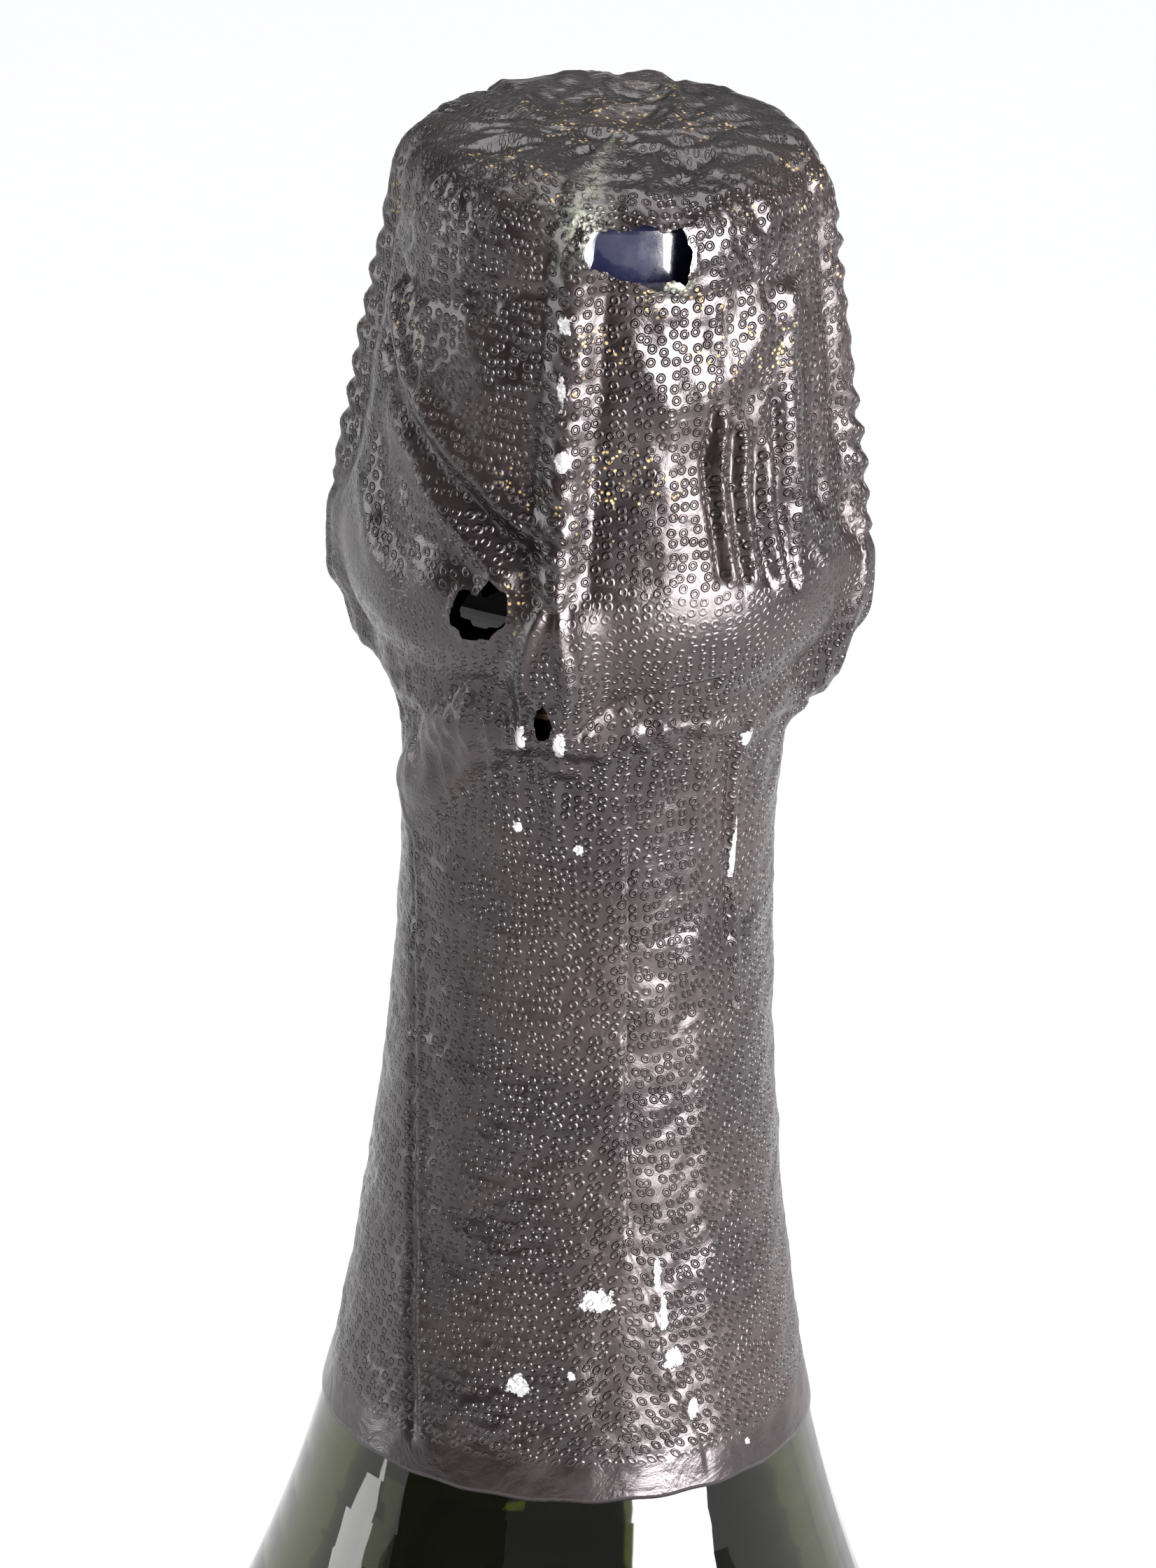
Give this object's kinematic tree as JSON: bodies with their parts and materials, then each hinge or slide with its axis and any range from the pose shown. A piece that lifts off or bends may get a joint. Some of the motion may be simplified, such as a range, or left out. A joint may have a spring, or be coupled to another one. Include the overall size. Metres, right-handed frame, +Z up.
{
  "type": "champagne bottle",
  "caption": "Full champagne bottle with mushroom cork, wired plaque and crumpled foil capsule; the cork, the wire hood and the foil lift off.",
  "frame": {"origin": "centre of the foot, on the plane that the bottle stands on", "axes": "+Z up along the bottle's axis, towards the cork; the picture looks along +Y, with +X to the right"},
  "size_m": [0.0885, 0.0884, 0.3083],
  "materials": {
    "dark_green_glass": "gloss",
    "wine": "clear",
    "foil": "semi-gloss, finely embossed",
    "pressed_cork": "matt",
    "natural_cork": "matt",
    "plaque_paint": "gloss",
    "zinc_wire": "satin",
    "belt_wire": "satin"
  },
  "bodies": {
    "bottle": {"glass_bottle": "dark_green_glass", "wine": "wine", "foil_neck": "foil"},
    "cork": {"cork_body": "pressed_cork", "cork_disc_upper": "natural_cork", "cork_disc_lower": "natural_cork"},
    "muselet": {"plaque": "plaque_paint", "hood_wire": "zinc_wire", "belt_wire": "belt_wire"},
    "foil_cap": {"foil_head": "foil"}
  },
  "joints": [
    {"name": "cork_pull", "type": "slide", "parent": "bottle", "child": "cork", "axis": [0, 0, 1], "range_m": [0, 0.06], "deforming": ["foil_head", "hood_wire", "belt_wire"]},
    {"name": "hood_lift", "type": "slide", "parent": "cork", "child": "muselet", "axis": [0, 0, 1], "range_m": [0, 0.05], "deforming": ["foil_head", "hood_wire", "belt_wire"]},
    {"name": "foil_lift", "type": "slide", "parent": "muselet", "child": "foil_cap", "axis": [0, 0, 1], "range_m": [0, 0.07], "deforming": ["foil_head"]}
  ]
}
